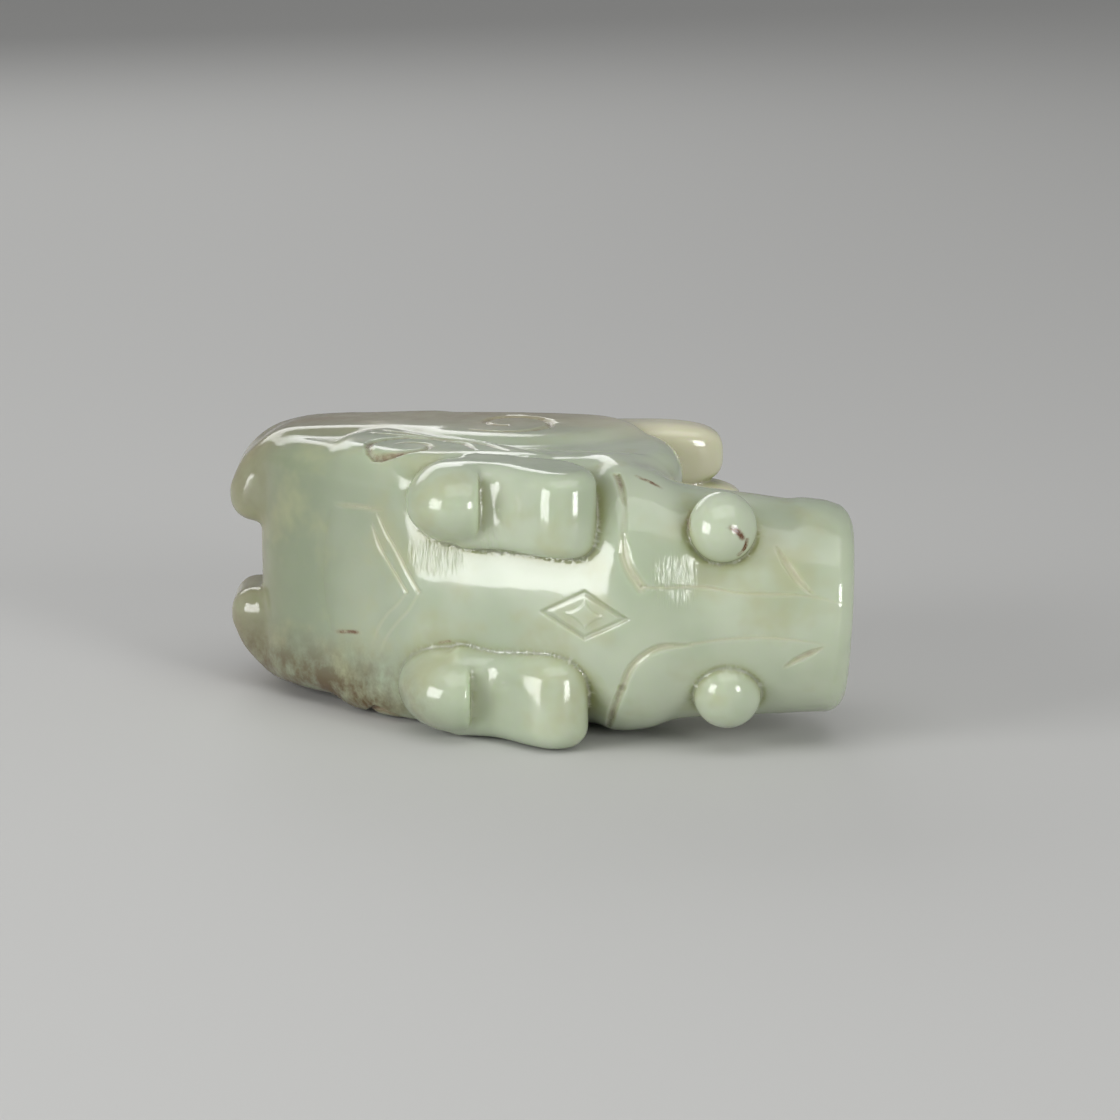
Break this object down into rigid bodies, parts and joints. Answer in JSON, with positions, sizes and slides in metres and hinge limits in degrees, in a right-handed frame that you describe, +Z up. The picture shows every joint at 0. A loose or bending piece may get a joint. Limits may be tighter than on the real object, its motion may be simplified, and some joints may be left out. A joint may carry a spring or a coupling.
{
  "type": "jade bird carving",
  "caption": "Small polished jade carving of a crouching bird with a hooked beak, bottle horns, folded wings and a two-lobed tail, lying on its side.",
  "frame": {"origin": "on the surface that the carving lies on, under the middle of its box", "axes": "+X from the tail to the beak, +Y from the crown of the head to the soles of the feet, +Z up, across the body from the flank it lies on to the other flank"},
  "size_m": [0.0556, 0.0356, 0.0245],
  "materials": {
    "jade": "polished"
  },
  "bodies": {
    "root": {"jade_bird": "jade"}
  },
  "joints": []
}
